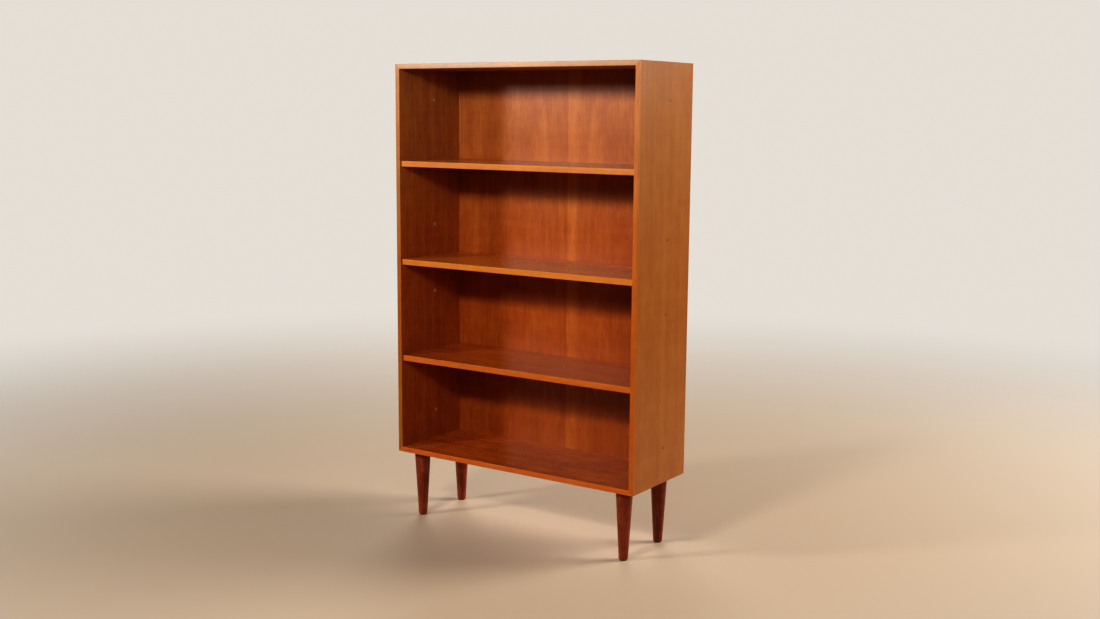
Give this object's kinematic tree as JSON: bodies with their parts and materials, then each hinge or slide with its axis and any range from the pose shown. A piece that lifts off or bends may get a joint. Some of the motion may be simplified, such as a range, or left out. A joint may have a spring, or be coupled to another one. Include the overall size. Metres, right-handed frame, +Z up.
{
  "type": "bookcase with adjustable shelves",
  "caption": "Open-fronted upright bookcase in teak veneer with a mitred case on tapered round legs and loose shelves resting on push-in studs.",
  "frame": {"origin": "on the floor under the middle of the case's width and depth", "axes": "+Z up, +X to the right seen from the front, the open front faces -Y"},
  "size_m": [0.8, 0.277, 1.315],
  "materials": {
    "teak_veneer": "satin oiled teak veneer, grain along each board",
    "teak_back": "satin oiled teak-faced plywood, grain upright",
    "teak_lipping": "satin oiled solid teak, lighter than the veneer",
    "leg_teak": "satin, dark red-brown stained solid wood",
    "spline_wood": "raw beech plywood, hidden",
    "brass": "satin",
    "zinc_steel": "zinc plated",
    "plug_plastic": "brown, slightly glossy",
    "glide_plastic": "dark brown, matt"
  },
  "bodies": {
    "case": {"left_side": "teak_veneer", "left_side_lipping": "teak_lipping", "right_side": "teak_veneer", "right_side_lipping": "teak_lipping", "top_panel": "teak_veneer", "top_panel_lipping": "teak_lipping", "bottom_panel": "teak_veneer", "bottom_panel_lipping": "teak_lipping", "back_panel": "teak_back", "mitre_spline_top_left": "spline_wood", "mitre_spline_top_right": "spline_wood", "mitre_spline_bottom_left": "spline_wood", "mitre_spline_bottom_right": "spline_wood", "link_plug_left_1": "plug_plastic", "link_plug_left_2": "plug_plastic", "link_plug_left_3": "plug_plastic", "link_plug_left_4": "plug_plastic", "link_plug_right_1": "plug_plastic", "link_plug_right_2": "plug_plastic", "link_plug_right_3": "plug_plastic", "link_plug_right_4": "plug_plastic", "leg_front_left": "leg_teak", "glide_front_left": "glide_plastic", "leg_bolt_front_left": "zinc_steel", "leg_insert_front_left": "zinc_steel", "leg_front_right": "leg_teak", "glide_front_right": "glide_plastic", "leg_bolt_front_right": "zinc_steel", "leg_insert_front_right": "zinc_steel", "leg_rear_left": "leg_teak", "glide_rear_left": "glide_plastic", "leg_bolt_rear_left": "zinc_steel", "leg_insert_rear_left": "zinc_steel", "leg_rear_right": "leg_teak", "glide_rear_right": "glide_plastic", "leg_bolt_rear_right": "zinc_steel", "leg_insert_rear_right": "zinc_steel"},
    "shelf_lower": {"shelf_lower": "teak_veneer", "shelf_lower_lipping": "teak_lipping"},
    "shelf_middle": {"shelf_middle": "teak_veneer", "shelf_middle_lipping": "teak_lipping"},
    "shelf_upper": {"shelf_upper": "teak_veneer", "shelf_upper_lipping": "teak_lipping"},
    "stud_lower_left_front": {"stud_lower_left_front": "brass"},
    "stud_lower_left_rear": {"stud_lower_left_rear": "brass"},
    "stud_lower_right_front": {"stud_lower_right_front": "brass"},
    "stud_lower_right_rear": {"stud_lower_right_rear": "brass"},
    "stud_middle_left_front": {"stud_middle_left_front": "brass"},
    "stud_middle_left_rear": {"stud_middle_left_rear": "brass"},
    "stud_middle_right_front": {"stud_middle_right_front": "brass"},
    "stud_middle_right_rear": {"stud_middle_right_rear": "brass"},
    "stud_upper_left_front": {"stud_upper_left_front": "brass"},
    "stud_upper_left_rear": {"stud_upper_left_rear": "brass"},
    "stud_upper_right_front": {"stud_upper_right_front": "brass"},
    "stud_upper_right_rear": {"stud_upper_right_rear": "brass"}
  },
  "joints": [
    {"name": "shelf_lower_lift", "type": "slide", "parent": "case", "child": "shelf_lower", "axis": [0, 0, 1], "range_m": [0, 0.25]},
    {"name": "shelf_middle_lift", "type": "slide", "parent": "case", "child": "shelf_middle", "axis": [0, 0, 1], "range_m": [0, 0.25]},
    {"name": "shelf_upper_lift", "type": "slide", "parent": "case", "child": "shelf_upper", "axis": [0, 0, 1], "range_m": [0, 0.25]},
    {"name": "stud_lower_left_front_pull", "type": "slide", "parent": "case", "child": "stud_lower_left_front", "axis": [1, 0, 0], "range_m": [0, 0.01]},
    {"name": "stud_lower_left_rear_pull", "type": "slide", "parent": "case", "child": "stud_lower_left_rear", "axis": [1, 0, 0], "range_m": [0, 0.01]},
    {"name": "stud_lower_right_front_pull", "type": "slide", "parent": "case", "child": "stud_lower_right_front", "axis": [-1, 0, 0], "range_m": [0, 0.01]},
    {"name": "stud_lower_right_rear_pull", "type": "slide", "parent": "case", "child": "stud_lower_right_rear", "axis": [-1, 0, 0], "range_m": [0, 0.01]},
    {"name": "stud_middle_left_front_pull", "type": "slide", "parent": "case", "child": "stud_middle_left_front", "axis": [1, 0, 0], "range_m": [0, 0.01]},
    {"name": "stud_middle_left_rear_pull", "type": "slide", "parent": "case", "child": "stud_middle_left_rear", "axis": [1, 0, 0], "range_m": [0, 0.01]},
    {"name": "stud_middle_right_front_pull", "type": "slide", "parent": "case", "child": "stud_middle_right_front", "axis": [-1, 0, 0], "range_m": [0, 0.01]},
    {"name": "stud_middle_right_rear_pull", "type": "slide", "parent": "case", "child": "stud_middle_right_rear", "axis": [-1, 0, 0], "range_m": [0, 0.01]},
    {"name": "stud_upper_left_front_pull", "type": "slide", "parent": "case", "child": "stud_upper_left_front", "axis": [1, 0, 0], "range_m": [0, 0.01]},
    {"name": "stud_upper_left_rear_pull", "type": "slide", "parent": "case", "child": "stud_upper_left_rear", "axis": [1, 0, 0], "range_m": [0, 0.01]},
    {"name": "stud_upper_right_front_pull", "type": "slide", "parent": "case", "child": "stud_upper_right_front", "axis": [-1, 0, 0], "range_m": [0, 0.01]},
    {"name": "stud_upper_right_rear_pull", "type": "slide", "parent": "case", "child": "stud_upper_right_rear", "axis": [-1, 0, 0], "range_m": [0, 0.01]}
  ]
}
